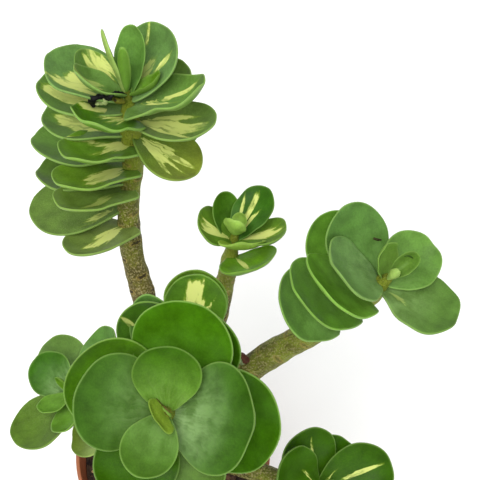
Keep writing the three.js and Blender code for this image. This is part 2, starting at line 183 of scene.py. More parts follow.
LEAVES = {
    "tall_shoot": [
        (3, 146, 65, 32, 11, 0.07, 48, "young"),
        (1, 260, 82, 25, 6, 0.1, 0, "crown"),
        (4, 71, 62, 33, 15, 0.16, 0, "glossy", [(35, 14, 0.5, 0.95, 0.5)]),
        (3.5, 359, 23, 18.5, 8, 0.3, 0, "sprout"),
        (5, 159, 28, 29.5, 21, 0.2, 0, "curled", [(-14, 24, 0.4, 0.9, 0.85)]),
        (3, 201, 30, 29, 20, 0.2, 2, "curled", [(0, 25, 0.4, 0.9, 0.35)]),
        (7, 48, 41, 37.5, 32, 0.14, 0, "grey",
         [(12, 8, 0.68, 0.8, 0.95), (-19, 11, 0.52, 0.76, 0.95), (-4, 16, 0.3, 0.6, 0.4)]),
        (7, 151, 8, 42.5, 36, 0.16, 5, "grey", [(12, 30, 0.34, 0.84, 0.86)]),
        (10, 344, 14, 41, 26.5, 0.24, -1, "stacked",
         [(12, 4.5, 0.3, 0.92, 0.8), (2, 5, 0.12, 0.6, 0.75)], 0.85),
        (12, 35, 12, 33, 28, 0.14, 0, "dull"),
        (13.5, 160, 4, 44, 35, 0.12, 4, "stacked", [(0, 26, 0.35, 0.86, 0.86)]),
        (16, 228, 20, 33, 30, 0.18, 0, "stacked_deep",
         [(-36, 24, 0.06, 0.66, 0.85), (0, 38, 0.02, 0.45, 0.9)], 0.85),
        (18, 342, 2, 40.5, 30, 0.16, 0, "olive",
         [(-1, 16, 0.05, 0.84, 0.75), (-18, 9, 0.05, 0.7, 0.75), (14, 9, 0.15, 0.66, 0.7)]),
        (26, 161, -3, 43, 35, 0.12, 4, "stacked", [(5, 22, 0.35, 0.84, 0.8)]),
        (31, 219, 8, 39, 28.5, 0.16, 4, "stacked_lit",
         [(3, 38, 0.02, 0.43, 0.95), (-24, 10, 0.35, 0.78, 0.7)], 0.85),
        (26, 336, -25, 34.5, 32, 0.1, 0, "yellowing",
         [(2, 8, 0.08, 0.9, 0.75), (-10, 7, 0.1, 0.8, 0.75), (-22, 8, 0.1, 0.76, 0.75),
          (13, 7, 0.1, 0.6, 0.6)]),
        (41, 163, -6, 49, 37, 0.12, 2, "stacked"),
        (45.5, 219, 0, 43, 28, 0.14, 8, "stacked_low", [(4, 28, 0.14, 0.6, 0.85)], 0.85),
        (36, 40, 0, 34, 32, 0.12, 0, "shade"),
        (55, 166, -14, 45.5, 38, 0.12, 0, "dull"),
        (57.5, 219, -6, 42, 27.5, 0.14, 6, "dull_low", [(12, 15, 0.3, 0.68, 0.4)], 0.85),
        (70, 166, -15, 49, 39, 0.08, -20, "speckled", [(32, 16, 0.12, 0.4, 0.6)]),
        (79, 226, -6, 38, 29, 0.12, 3, "olive_low", [(4, 24, 0.16, 0.68, 0.95)], 0.85),
    ],
    "middle_shoot": [
        (1, 250, 50, 14, 12, 0.2, 0, "hood"),
        (1, 70, 62, 11, 8, 0.2, 0, "hood"),
        (4, 49, 46, 30, 21.5, 0.14, 0, "gloss",
         [(8, 8, 0.16, 0.8, 0.95), (22, 6, 0.3, 0.66, 0.88), (-6, 6, 0.25, 0.66, 0.88)]),
        (5, 180, 20, 22, 26, 0.2, -12, "flamed", [(6, 26, 0.12, 0.86, 0.9)]),
        (5, 354, 19, 26.7, 24.5, 0.2, 2, "flamed", [(6, 22, 0.16, 0.84, 0.9)]),
        (8, 122, 46, 26.5, 17.5, 0.16, 0, "shade"),
        (6, 290, 22, 18, 25, 0.2, 0, "bright"),
        (14, 307, 8.5, 23, 32.5, 0.25, 11, "flamed_low", [(-4, 12, 0.1, 0.66, 0.85)]),
    ],
    "right_shoot": [
        (1, 45, 44, 17, 9, 0.5, 0, "tender"),
        (1, 235, 66, 9, 5, 0.4, 0, "young"),
        (4, 126, 42, 19, 15, 0.25, 0, "tender"),
        (7, 42, 25, 30, 29, 0.16, 0, "clear"),
        (12, 131, 18, 40, 35, 0.14, -14, "clear_deep"),
        (9, 333, 18, 38, 34, 0.1, 0, "bloomy", [(-16, 9, 0.06, 0.4, 0.22)]),
        (6, 186, 14, 35, 36, 0.1, 13, "grey"),
        (17, 42, 10, 30, 28, 0.16, 0, "dull"),
        (20, 133, 8, 41, 34, 0.14, -20, "green"),
        (18, 197, 17, 41, 40, 0.11, 18, "green_low", (), 0.6),
        (27, 194, 11, 43.5, 41, 0.11, 11, "green", (), 0.6),
        (39, 188, 7, 41, 38, 0.11, -8, "dull_pale", (), 0.6),
    ],
    "front_shoot": [
        (1, 212, 50, 9.5, 17, 0.2, 0, "bud", (), 0.85),
        (1, 42, 80, 5.5, 6, 0.2, 0, "sprout"),
        (4, 88, 20, 29.5, 30, 0.12, 0, "rayed"),
        (5, 246, 27, 32, 24, 0.12, 0, "front_pale"),
        (9, 167, 21, 41, 41.5, 0.12, 0, "front"),
        (10, 354, 18, 39, 48, 0.12, 0, "front_bloom"),
        (16, 238, 14, 42, 37, 0.12, 0, "deep"),
        (18, 286, 12, 43, 38, 0.12, 0, "bluish"),
        (20, 77, 3.5, 49.5, 44, 0.12, -4, "rich"),
        (25, 154, 10.5, 46, 45, 0.12, 0, "rich_low"),
        (27, 352, 12, 49.5, 49, 0.12, -1, "rich"),
        (33, 72, 4, 46.5, 46, 0.12, 0, "rich"),
        (38, 103, -2, 47, 24, 0.06, 0, "clear_deep"),
        (44, 106, 5, 48, 33, 0.12, 2, "shade", [(13, 5, 0.68, 0.88, 0.7)]),
        (77, 78, 6, 39.5, 30, 0.12, 0, "flamed_deep",
         [(5, 22, 0.4, 0.84, 1), (-16, 4, 0.5, 0.74, 0.9)]),
        (84, 80, 4, 36.5, 31, 0.12, 0, "flamed"),
    ],
    "left_shoot": [
        (1, 60, 62, 10, 7, 0.2, 0, "sprout"),
        (2, 240, 24, 17, 17, 0.16, 0, "fresh"),
        (5, 128, 22, 26, 24, 0.16, 0, "frosted"),
        (6, 286, 14, 28, 21, 0.16, 0, "fresh"),
        (9, 213, 6, 36, 33, 0.14, 0, "freckled"),
        (11, 47, 8, 39, 26, 0.14, 0, "clear_deep"),
        (14, 112, 15, 37, 31, 0.14, 0, "whitish"),
        (44, 185, 12, 30, 28, 0.12, 0, "withered", [(-70, 22, 0.1, 0.5, 0.7)]),
    ],
    "low_shoot": [
        (1, 110, 66, 12, 9, 0.2, 0, "sprout"),
        (1, 290, 66, 12, 9, 0.2, 0, "sprout"),
        (4, 160, 22, 34, 30, 0.16, 0, "deep", [(-20, 8, 0.28, 0.5, 0.85)]),
        (5, 20, 22, 38, 32, 0.16, 0, "deep", [(3, 6, 0.42, 0.78, 0.78), (31, 8, 0.18, 0.4, 0.8)]),
        (8, 114, 18, 33, 31, 0.16, 0, "deep", [(-10, 7, 0.36, 0.6, 0.85)]),
        (9, 290, 18, 29, 28, 0.16, 0, "deep"),
        (13, 58, 12, 29, 28, 0.16, 0, "rich"),
        (14, 205, 10, 30, 28, 0.16, 0, "deep"),
        (19, 335, 8, 30, 28, 0.16, 0, "deep"),
    ],
}

# What each look of leaf gives the eye: its green at the root and at the tip, then how strong its
# white bloom, its pale rays, its pale specks and its pale rim are. The white bloom is partly wax and
# partly painted sheen, and the pale rim is a painted highlight where light catches the thick edge.
# The looks ending in _low or _painted_light, and stacked_lit, are lighter copies of another look's
# green: painted light on low leaves that lie in the shade of the leaves above.
LOOKS = {
    "young": ("93a959", "83a04c", 0.1, 0.1, 0, 0.3),
    "crown": ("4d7a13", "487411", 0.1, 0.15, 0.1, 0.6),
    "sprout": ("5b8420", "537b18", 0, 0.1, 0, 0.4),
    "bud": ("78942e", "6e8a24", 0, 0.1, 0, 0.3),
    "tender": ("6b8f37", "618732", 0.1, 0.1, 0, 0.5),
    "hood": ("8cb24a", "8db04a", 0.1, 0.2, 0, 0.4),
    "fresh": ("5f8a29", "588325", 0.1, 0.15, 0.1, 0.6),
    "bright": ("88a839", "80a235", 0, 0.2, 0.1, 0.6),
    "glossy": ("4c772a", "5e8539", 0.1, 0.1, 0, 0.5),
    "gloss": ("366215", "346010", 0.1, 0.1, 0.1, 0.5),
    "flamed": ("53781d", "577c1f", 0, 0.2, 0.2, 0.6),
    "flamed_deep": ("456d15", "487117", 0, 0.15, 0.1, 0.6),
    "flamed_low": ("5c8919", "608e1b", 0, 0.2, 0.2, 0.6),
    "curled": ("5f843a", "5c8036", 0.1, 0.1, 0.4, 0.7),
    "grey": ("5e8242", "587d3c", 0.25, 0.25, 0.4, 0.6),
    "stacked": ("567931", "587c31", 0.15, 0.2, 0.5, 0.9),
    "stacked_deep": ("447110", "47750e", 0.1, 0.25, 0.3, 0.9),
    "stacked_lit": ("547d1e", "577f1b", 0.1, 0.25, 0.4, 0.9),
    "stacked_low": ("5e8422", "628820", 0.1, 0.25, 0.5, 0.8),
    "olive": ("5f7534", "577430", 0.1, 0.3, 0.6, 0.8),
    "olive_low": ("6b7c39", "627b35", 0.1, 0.25, 0.6, 0.8),
    "yellowing": ("476518", "6c7a26", 0, 0.3, 0.5, 0.5),
    "dull": ("55722d", "537227", 0.15, 0.2, 0.4, 0.9),
    "dull_low": ("6c883a", "6a8832", 0.15, 0.2, 0.5, 0.8),
    "dull_pale": ("60883c", "5c8636", 0.15, 0.2, 0.3, 0.7),
    "speckled": ("5b762f", "5f7c34", 0.1, 0.2, 1, 0.6),
    "freckled": ("4e6a1f", "527022", 0.1, 0.2, 1, 0.5),
    "shade": ("426c14", "3e690e", 0.1, 0.15, 0.2, 0.7),
    "clear": ("567d30", "5a8134", 0.2, 0.25, 0.1, 0.5),
    "clear_deep": ("4b7329", "517834", 0.2, 0.25, 0.1, 0.6),
    "bloomy": ("5b7b37", "4b6d2a", 0.35, 0.3, 0.2, 0.5),
    "green": ("5c8a28", "578527", 0.15, 0.25, 0.2, 0.6),
    "green_low": ("699d2c", "63962b", 0.15, 0.25, 0.2, 0.6),
    "front": ("3f6319", "355915", 0.3, 0.25, 0.1, 0.5),
    "front_pale": ("52782a", "42661a", 0.25, 0.3, 0.1, 0.5),
    "front_bloom": ("43671f", "2b5108", 0.65, 0.3, 0.15, 0.6),
    "rayed": ("51771a", "2f5802", 0.1, 0.45, 0.1, 0.4),
    "rich": ("3a6604", "366301", 0.05, 0.15, 0.15, 0.8),
    "rich_low": ("467106", "416e02", 0.1, 0.2, 0.15, 0.8),
    "deep": ("345b02", "305701", 0, 0.1, 0.15, 0.6),
    "bluish": ("4a6b23", "507124", 0.3, 0.3, 0.2, 0.5),
    "frosted": ("3f671a", "326009", 0.7, 0.3, 0.1, 0.6),
    "whitish": ("60803b", "597a34", 0.45, 0.3, 0.2, 0.5),
    "withered": ("a0b470", "637a16", 0.5, 0.3, 0.6, 0.4),
}

# Dry remains of a flower and of leaf bases, and small wounds: each one's colour, path and radii

SCRAPS = (
    ("050506", [(-29.8, 108.8, 263.5), (-31.1, 110.5, 265), (-29.4, 108.2, 271), (-27.1, 108.7, 271.5),
                (-24.9, 109.1, 271.5)], (0.9, 1.7, 1.6, 1.3, 1)),
    ("060606", [(-25.4, 109.1, 271.5), (-22.9, 107, 273), (-20.9, 104.6, 278), (-19.5, 107.7, 276),
                (-17.1, 109.8, 273), (-15.4, 111.6, 269)], (0.8, 1.3, 0.9, 0.8, 0.7, 0.5)),
    ("a9b878", [(-29.6, 109.6, 264.4), (-27.2, 110.6, 264.6), (-25, 109.6, 267.2), (-24.6, 108.9, 270.8)],
     (0.8, 1.8, 1.7, 0.7)),
    ("5b5c14", [(-21.2, 108.2, 271), (-19.2, 107.9, 269.8), (-16.6, 109, 267.5)], (0.6, 1.4, 1.3)),
    ("2c2b08", [(-20.5, 107.2, 271.6), (-19.4, 106.9, 270.9)], (0.35, 0.5)),
    ("4f2a1a", [(34.1, 40.6, 138.5), (37.8, 37.6, 137.5), (40.4, 35.6, 136)], (1.2, 2, 1.9)),
    ("76845a", [(34.4, 40, 139.4), (35.6, 37.2, 138.2), (37.7, 35.4, 134.6)], (0.9, 1.5, 1.2)),
    ("2e2a0c", [(98.6, 63.2, 222.1), (100, 62.8, 221.7), (102.4, 62.9, 220.9)], (0.7, 0.5, 0.55)),
    ("2f4a12", [(111.2, 50.1, 229.7), (113.2, 50.3, 229.4), (115.4, 49.9, 228.3)], (0.5, 0.35, 0.6)),
    ("4d4414", [(1, -22.3, 238.6), (2, -23, 237.6), (3, -23.9, 236.4), (4.6, -26.8, 241.1),
                (5.9, -28.2, 241.3), (7.1, -29, 240.4)], (0.2, 0.28, 0.3, 0.32, 0.38, 0.3)),
)


# Routes of the stems


class Route:
    """A centripetal Catmull-Rom curve through a stem's points, walked by its length."""

    def __init__(self, points):
        points = [np.array(point, float) for point in points]
        points = [2 * points[0] - points[1]] + points + [2 * points[-1] - points[-2]]
        self.spans = []
        for before, start, end, after in zip(points, points[1:], points[2:], points[3:]):
            gaps = [np.dot(q - p, q - p) ** 0.25
                    for p, q in ((before, start), (start, end), (end, after))]
            leave = ((start - before) / gaps[0] - (end - before) / (gaps[0] + gaps[1])
                     + (end - start) / gaps[1]) * gaps[1]
            arrive = ((end - start) / gaps[1] - (after - start) / (gaps[1] + gaps[2])
                      + (after - end) / gaps[2]) * gaps[1]
            self.spans.append((start, leave, 3 * (end - start) - 2 * leave - arrive,
                               2 * (start - end) + leave + arrive))
        walked = np.array([self.raw(k / ROUTE_STEPS) for k in range(ROUTE_STEPS + 1)])
        steps = np.linalg.norm(np.diff(walked, axis=0), axis=1)
        self.lengths = np.concatenate([[0], np.cumsum(steps)])
        self.length = self.lengths[-1]

    def raw(self, t):
        place = min(max(t, 0), 1) * len(self.spans)
        k = min(int(place), len(self.spans) - 1)
        w = place - k
        start, first, second, third = self.spans[k]
        return start + first * w + second * w * w + third * w ** 3

    def frame(self, share):
        """At a share of the length: the middle, the stem's direction, and two directions square to it."""
        t = np.interp(share * self.length, self.lengths, np.arange(ROUTE_STEPS + 1) / ROUTE_STEPS)
        along = self.raw(t + 0.0001) - self.raw(t - 0.0001)
        along /= np.linalg.norm(along)
        side = X_AXIS - along * along[0]
        side /= np.linalg.norm(side)
        return self.raw(t), along, side, np.cross(along, side)


def stem_radius(shoot, route, share):
    """The stem thins steadily, and quickly over the soft tip."""
    soft = min(1, (1 - share) * route.length / SOFT_TIP)
    foot, tip = shoot["radii"]
    return (foot + (tip - foot) * share) * (TIP_SHARE + (1 - TIP_SHARE) * soft)


# Meshes


def linear(hex_colour):
    """An sRGB hex value as the linear colour that the renderer works in."""
    parts = [int(hex_colour[k:k + 2], 16) / 255 for k in (0, 2, 4)]
    return tuple(p / 12.92 if p <= 0.04045 else ((p + 0.055) / 1.055) ** 2.4 for p in parts) + (1.0,)


def smooth_step(low, high, value):
    t = np.clip((value - low) / (high - low), 0, 1)
    return t * t * (3 - 2 * t)


def circle(centre, radius, sides, side=X_AXIS, back=Y_AXIS):
    """Points round a circle that lies along two directions, level where none are given."""
    turns = [2 * math.pi * s / sides for s in range(sides)]
    return [centre + side * radius * math.cos(a) + back * radius * math.sin(a) for a in turns]


def tube(rings):
    """A closed solid through rings of equal count."""
    count = len(rings[0])
    points = [p for ring in rings for p in ring] + [np.mean(rings[0], axis=0), np.mean(rings[-1], axis=0)]
    faces = []
    last = (len(rings) - 1) * count
    for s in range(count):
        t = (s + 1) % count
        for r in range(len(rings) - 1):
            faces.append((r * count + s, r * count + t, (r + 1) * count + t, (r + 1) * count + s))
        faces.append((t, s, len(points) - 2))
        faces.append((last + s, last + t, len(points) - 1))
    return points, faces


def route_tube(route, steps, sides, radius_at):
    """A closed tube along a route, from its radius at each share of the length."""
    rings = []
    for k in range(steps + 1):
        middle, along, side, back = route.frame(k / steps)
        rings.append(circle(middle, radius_at(k / steps), sides, side, back))
    return tube(rings)


def joined(parts):
    """The points and the faces of several meshes as those of one."""
    points, faces = [], []
    for spots, quads in parts:
        faces += [tuple(corner + len(points) for corner in quad) for quad in quads]
        points += list(spots)
    return points, faces


def new_mesh(name, points, faces):
    """A mesh from points in millimetres."""
    mesh = bpy.data.meshes.new(name)
    mesh.from_pydata((np.asarray(points) * MM).tolist(), [], faces)
    mesh.validate()
    return mesh


def put(name, data):
    """A new object in the scene that holds a mesh, a lamp or a camera."""
    made = bpy.data.objects.new(name, data)
    bpy.context.scene.collection.objects.link(made)
    return made


def applied(holder):
    """The holder's mesh with its modifiers applied; the holder itself goes."""
    graph = bpy.context.evaluated_depsgraph_get()
    mesh = bpy.data.meshes.new_from_object(holder.evaluated_get(graph))
    bpy.data.meshes.remove(holder.data)
    return mesh


def finish_piece(name, mesh, material):
    """A piece of the plant or its pot, which rides on the one body."""
    mesh.name = name
    mesh.materials.append(material)
    mesh.shade_smooth()
    made = put(name, mesh)
    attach(made, "root")
    return made


def keep(mesh, name, values):
    """Stores a colour or a vector at each point, for the material to read."""
    colour = values.shape[1] == 4
    attribute = mesh.attributes.new(name, "FLOAT_COLOR" if colour else "FLOAT_VECTOR", "POINT")
    attribute.data.foreach_set("color" if colour else "vector", values.astype(np.float32).ravel())


def inside_cad(points):
    """Holds a piece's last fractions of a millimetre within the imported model's box."""
    low, high = (np.array(corner) / MM for corner in cad_box)
    return np.clip(points, low + BOX_GAP, high - BOX_GAP)


# Leaves


def half_width(u, base):
    """Half the blade's width at a share of its length, as a share of its widest half."""
    swell = base + (1 - base) * np.sin(np.clip(u / WIDEST_AT, 0, 1) * math.pi / 2) ** 0.9
    past = np.clip((u - WIDEST_AT) / (1 - WIDEST_AT), 0, 1)
    return np.where(u < WIDEST_AT, swell, np.sqrt(np.clip(1 - past * past, 0, 1)))


def outline(length, width, base, luck):
    """Points round the blade, evenly spaced, with the small unevenness of a grown leaf."""
    u = np.concatenate([np.linspace(0, WIDEST_AT, 40), WIDEST_AT + (1 - WIDEST_AT)
                        * np.cos(np.linspace(90, 0, 40)[1:] * TURN)])
    lobes = np.sqrt(np.clip(1 - np.clip(1 - u / LOBE_SHARE, 0, 1) ** 2, 0, 1))
    y = half_width(u, base) * width / 2 * (lobes if base > BASE_WIDTH else 1)
    x = u * length
    x = np.concatenate([[0], x, x[-2::-1], [0]])
    y = np.concatenate([[0], y, -y[-2::-1], [0]])
    steps = np.concatenate([[0], np.cumsum(np.hypot(np.diff(x), np.diff(y)))])
    places = np.arange(SEGMENTS) / SEGMENTS * steps[-1]
    x = np.interp(places, steps, x)
    y = np.interp(places, steps, y)
    middle = length * 0.52
    bearing = np.arctan2(y, x - middle)
    grown = np.ones(SEGMENTS)
    for waves in (2, 3, 5, 7):
        grown += luck.normal(0, UNEVEN / waves ** 0.5) * np.cos(waves * bearing + luck.uniform(0, 6.28))
    notch = luck.uniform(-0.012, 0.03) * np.exp(-(bearing / 0.28) ** 2)
    grown = np.minimum(grown - notch, 1.02)
    return middle + (x - middle) * grown, y * grown, middle


def leaf_blade(route, shoot, row, seed):
    """One leaf as points, faces and what its material reads at each point."""
    below, bearing, lift, length, width, bowl, twist = row[:7]
    base = row[9] if len(row) > 9 else BASE_WIDTH
    luck = np.random.default_rng(seed)
    share = 1 - below / route.length
    middle, along, side, back = route.frame(share)
    out = side * math.cos(bearing * TURN) + back * math.sin(bearing * TURN)
    midrib = out * math.cos(lift * TURN) + along * math.sin(lift * TURN)
    face = along * math.cos(lift * TURN) - out * math.sin(lift * TURN)
    across = np.cross(face, midrib)
    cos, sin = math.cos(twist * TURN), math.sin(twist * TURN)
    across, face = across * cos + np.cross(midrib, across) * sin, face * cos + np.cross(midrib, face) * sin
    clasps = base >= CLASPING
    root = middle + out * (0 if clasps else stem_radius(shoot, route, share) * ROOT_DEPTH)

    edge_x, edge_y, centre = outline(length, width, base, luck)
    reach = np.hypot(edge_x - centre, edge_y)
    small = np.minimum(1, reach / SMALL_BLADE)
    shares = [ring - ring * RIM_BAND * small / reach for ring in INNER_RINGS]
    shares = np.array(shares + [1 - gap * small / reach for gap in RIM_RINGS])
    x = centre + (edge_x - centre) * shares
    y = edge_y * shares
    gap = (1 - shares) * reach

    u = np.clip(x / length, 0, 1)
    half = np.maximum(half_width(u, base), 0.05)
    v = np.clip(y / (half * width / 2), -1, 1)
    past = np.clip((u - WIDEST_AT) / (1 - WIDEST_AT), 0, 1)
    cup = np.minimum(1, u / FLAT_BASE) if clasps else 1
    rise = bowl * length * (0.75 * v * v * half * cup + past * past)
    angle = np.arctan2(y, x - centre)
    wave = sum(luck.normal(0, WAVE) * np.cos(k * angle + luck.uniform(0, 6.28)) for k in (2, 3, 4, 6))
    rise += wave * shares ** 3 * min(1, width / 20)
    dents = sum(luck.normal(0, DENT) * np.cos(x * luck.uniform(0.12, 0.4) + luck.uniform(0, 6.28))
                * np.cos(y * luck.uniform(0.12, 0.4) + luck.uniform(0, 6.28)) for k in range(4))
    groove = -GROOVE_DEPTH * np.exp(-(y / GROOVE_WIDTH) ** 2) * np.clip(1 - u / 0.55, 0, 1)
    rise += (dents + groove) * np.clip(gap / 2, 0, 1)
    body = min(max(width / 30, 0.6), 1)
    thick = body * (LEAF_THICKNESS + (EDGE_THICKNESS - LEAF_THICKNESS) * shares ** 2) / 2
    thick = thick * np.sqrt(np.clip(1 - np.clip(1 - gap / RIM_ROUND, 0, 1) ** 2, 0, 1))

    flat = root + x[..., None] * midrib + y[..., None] * across
    upper, lower = ((flat + (rise + sign * thick)[..., None] * face).reshape(-1, 3) for sign in (1, -1))
    heart = [root + centre * midrib + (np.mean(rise[0]) + sign * body * LEAF_THICKNESS / 2) * face
             for sign in (1, -1)]
    points = np.concatenate([upper, lower[:-SEGMENTS], heart])
    x, y, gaps = (np.concatenate([field.ravel(), field.ravel()[:-SEGMENTS], [at_heart] * 2])
                  for field, at_heart in ((x, centre), (y, 0), (gap, width / 2)))
    rings = len(shares)
    offset = rings * SEGMENTS
    under = np.concatenate([np.zeros(offset), np.ones(offset - SEGMENTS), [0, 1]])

    faces = []
    for s in range(SEGMENTS):
        t = (s + 1) % SEGMENTS
        for r in range(rings - 1):
            a, b = r * SEGMENTS + s, r * SEGMENTS + t
            faces.append((a, b, b + SEGMENTS, a + SEGMENTS))
            step = SEGMENTS + (offset if r < rings - 2 else 0)
            faces.append((offset + a, a + step, b + step, offset + b))
        faces.append((len(points) - 2, t, s))
        faces.append((len(points) - 1, offset + s, offset + t))
    return points, faces, leaf_marks(row, x, y, gaps, under, seed, luck)


def leaf_marks(row, x, y, gaps, under, seed, luck):
    """What the leaf's material reads: its greens, its flames, its rim of painted highlight, its bloom and
    painted sheen, rays and specks.
    """
    length = row[3]
    flames = row[8] if len(row) > 8 else ()
    root_green, tip_green, bloom, rays, specks, rim = LOOKS[row[7]]
    toward_tip = np.clip(x / length, 0, 1)[:, None]
    flesh = np.array(linear(root_green)) * (1 - toward_tip) + np.array(linear(tip_green)) * toward_tip
    flesh[:, :3] *= luck.uniform(0.84, 0.97)
    away = np.hypot(x, y)
    bearing = np.degrees(np.arctan2(y, np.maximum(x, 0.01)))
    flame = np.full(len(x), float(NO_FLAME))
    strength = np.zeros(len(x))
    for middle, spread, start, end, strong in flames:
        off = (bearing - middle) / spread
        tongue = np.minimum(end * length * (1 - off ** 2) - away, away - start * length)
        strength = np.where(tongue > flame, strong, strength)
        flame = np.maximum(flame, tongue)
    # The bloom's whiteness near the root is partly real wax and partly painted sheen; it fades along the
    # leaf.
    bloom_and_sheen_fade = np.clip(1 - away / (BLOOM_AND_SHEEN_REACH * length), 0, 1)
    ray_fade = 0.12 + 0.88 * np.clip(1 - away / (RAY_REACH * length), 0, 1)
    speck_fade = np.clip(1.25 - away / length, 0, 1)
    full = np.ones(len(x))
    return {
        "flesh": flesh,
        "blade": np.column_stack([x, y, seed * 7.31 % 97 * full]),
        "marks": np.column_stack([flame, gaps, under]),
        "skin": np.column_stack([bloom * bloom_and_sheen_fade, rays * ray_fade, specks * speck_fade]),
        "extra": np.column_stack([strength, rim * full, 0 * full]),
    }


def make_leaves(number, name, material):
    """All the leaves of one shoot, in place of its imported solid."""
    route = Route(STEMS[name]["route"])
    blades = [leaf_blade(route, STEMS[name], row, 100 * number + k)
              for k, row in enumerate(LEAVES[name], start=1)]
    points, faces = joined([blade[:2] for blade in blades])
    made = finish_piece(name + "_leaves", new_mesh(name, inside_cad(points), faces), material)
    for field in blades[0][2]:
        keep(made.data, field, np.concatenate([marks[field] for spots, quads, marks in blades]))
    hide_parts(name)


# Stems


def joined_stems():
    """Every stem and the buried foot, whose top dives under the branches, as one skin."""
    tubes = []
    for shoot in STEMS.values():
        route = Route(shoot["route"])
        tubes.append(route_tube(route, int(route.length / 2), STEM_SIDES,
                                lambda share: stem_radius(shoot, route, share)))
    foot = ((SEAT_GAP - FOOT_DEPTH, 1), (-12, 1), (6, 1), (10, 0.92), (12.3, 0.75))
    tubes.append(tube([circle(np.array([*FOOT_PLACE, SOIL_TOP + z]), FOOT_RADIUS * share, STEM_SIDES)
                       for z, share in foot]))
    holder = put("stem_rough", new_mesh("stem_rough", *joined(tubes)))
    remesh = holder.modifiers.new("Skin", "REMESH")
    remesh.mode = "VOXEL"
    remesh.voxel_size = STEM_VOXEL * MM
    soften = holder.modifiers.new("Soften", "SMOOTH")
    soften.factor = 0.5
    soften.iterations = 6
    return applied(holder)


def stem_places(points):
    """For each point: its shoot, its place along and round the stem, its distance from the stem's
    middle, how far below the green tip it is, and how far below it the bark is ripe."""
    rows = []
    for number, shoot in enumerate(STEMS.values()):
        route = Route(shoot["route"])
        green, ripe = route.length - 0.3 * shoot["head"], shoot["ripe"] + 0.7 * shoot["head"]
        for k in range(int(route.length) + 1):
            middle, along, side, back = route.frame(k / int(route.length))
            walked = route.length * k / int(route.length)
            rows.append((number, walked, middle, side, back, green - walked, ripe))
    tree = KDTree(len(rows))
    for k, row in enumerate(rows):
        tree.insert(Vector(row[2]), k)
    tree.balance()
    result = []
    for point in points:
        number, walked, middle, side, back, below, ripe = rows[tree.find(Vector(point))[1]]
        away = point - middle
        turn = math.atan2(np.dot(away, back), np.dot(away, side))
        result.append((number, walked, turn, np.linalg.norm(away), below, ripe))
    return np.array(result).T


def scars(shoots, walked, turns, away):
    """Leaf scars sit in facing pairs, each pair a quarter turn from the last, on a slight ring."""
    scar = np.zeros(len(shoots))
    ring = np.zeros(len(shoots))
    for number, shoot in enumerate(STEMS.values()):
        mine = shoots == number
        luck = np.random.default_rng(40 + number)
        place, turn = Route(shoot["route"]).length - 0.35 * shoot["head"], luck.uniform(0, 3.14)
        while place > 4:
            s = walked[mine] - place
            ring[mine] = np.maximum(ring[mine], np.exp(-(s / 1.9) ** 2))
            for facing in (0, math.pi):
                off = (turns[mine] - turn - facing + math.pi) % (2 * math.pi) - math.pi
                oval = np.hypot(s / luck.uniform(1.0, 1.5), off * away[mine] / luck.uniform(3.0, 4.4))
                scar[mine] = np.maximum(scar[mine], 1 - smooth_step(0.55, 1.25, oval))
            place -= luck.uniform(*SCAR_SPACING)
            turn += math.pi / 2 + luck.uniform(-0.25, 0.25)
    return scar, ring


def crinkle(points, scale, seed):
    """Smooth noise of about -1 to 1 at each point, whose bumps are scale millimetres apart."""
    luck = np.random.default_rng(seed)
    total = np.zeros(len(points))
    for octave in range(9):
        direction = luck.normal(0, 1, 3)
        direction /= np.linalg.norm(direction)
        step = scale * luck.uniform(0.6, 1.6)
        total += np.sin(points @ direction * 2 * math.pi / step + luck.uniform(0, 6.28))
    return total / 3


def make_stems(material):
    """The branched stem with its bark's relief: rings, scars, wrinkles and slow bends."""
    skin = joined_stems()
    points = np.array([vertex.co for vertex in skin.vertices]) / MM
    normals = np.array([vertex.normal for vertex in skin.vertices])
    shoots, walked, turns, away, below, ripe = stem_places(points)
    scar, ring = scars(shoots, walked, turns, away)
    age = smooth_step(0, 1, below / ripe)
    wrapped = np.column_stack([walked / 3.2, np.cos(turns) * away, np.sin(turns) * away])
    swell = 0.35 * ring * (0.4 + 0.6 * age) - 0.38 * scar + 0.22 * age * crinkle(wrapped, 4, 5)
    swell += 0.28 * crinkle(points, 17, 6)
    swell[points[:, 2] < SOIL_TOP] *= 0.3
    skin.vertices.foreach_set("co", (inside_cad(points + normals * swell[:, None]) * MM).ravel())
    keep(skin, "stem", np.column_stack([age, scar, 0 * age]))
    keep(skin, "wrap", np.column_stack([walked, turns * 6, shoots * 13]))
    made = finish_piece("stems", skin, material)
    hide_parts("woody_stem")


# Pot


def outer_radius(z):
    slope = (RIM_RADIUS - LIP_WIDTH - COLLAR_STEP - BASE_RADIUS) / (POT_HEIGHT - COLLAR_HEIGHT)
    return BASE_RADIUS + slope * z


def inside_radius(z):
    foot, knee_radius = outer_radius(FLOOR) - WALL, outer_radius(KNEE + 3) - WALL
    if z >= KNEE:
        top = RIM_RADIUS - LIP_WIDTH
        return knee_radius + (top - knee_radius) * (z - KNEE) / (POT_HEIGHT - 0.5 - KNEE)
    return foot + (knee_radius - foot) * (z - FLOOR) / (KNEE - FLOOR)


def rounded(corners, steps=4):
    """The profile between its first and last corner, eased by the radius that each names."""
    places = []
    for before, (r, z, ease), after in zip(corners, corners[1:], corners[2:]):
        corner = np.array([r, z], float)
        if ease == 0:
            places.append(corner)
            continue
        ends = []
        for other in (before, after):
            way = np.array(other[:2], float) - corner
            ends.append(corner + way / np.linalg.norm(way) * min(ease, np.linalg.norm(way) * 0.45))
        for w in np.arange(steps + 1) / steps:
            places.append(ends[0] * (1 - w) ** 2 + corner * 2 * w * (1 - w) + ends[1] * w ** 2)
    return places


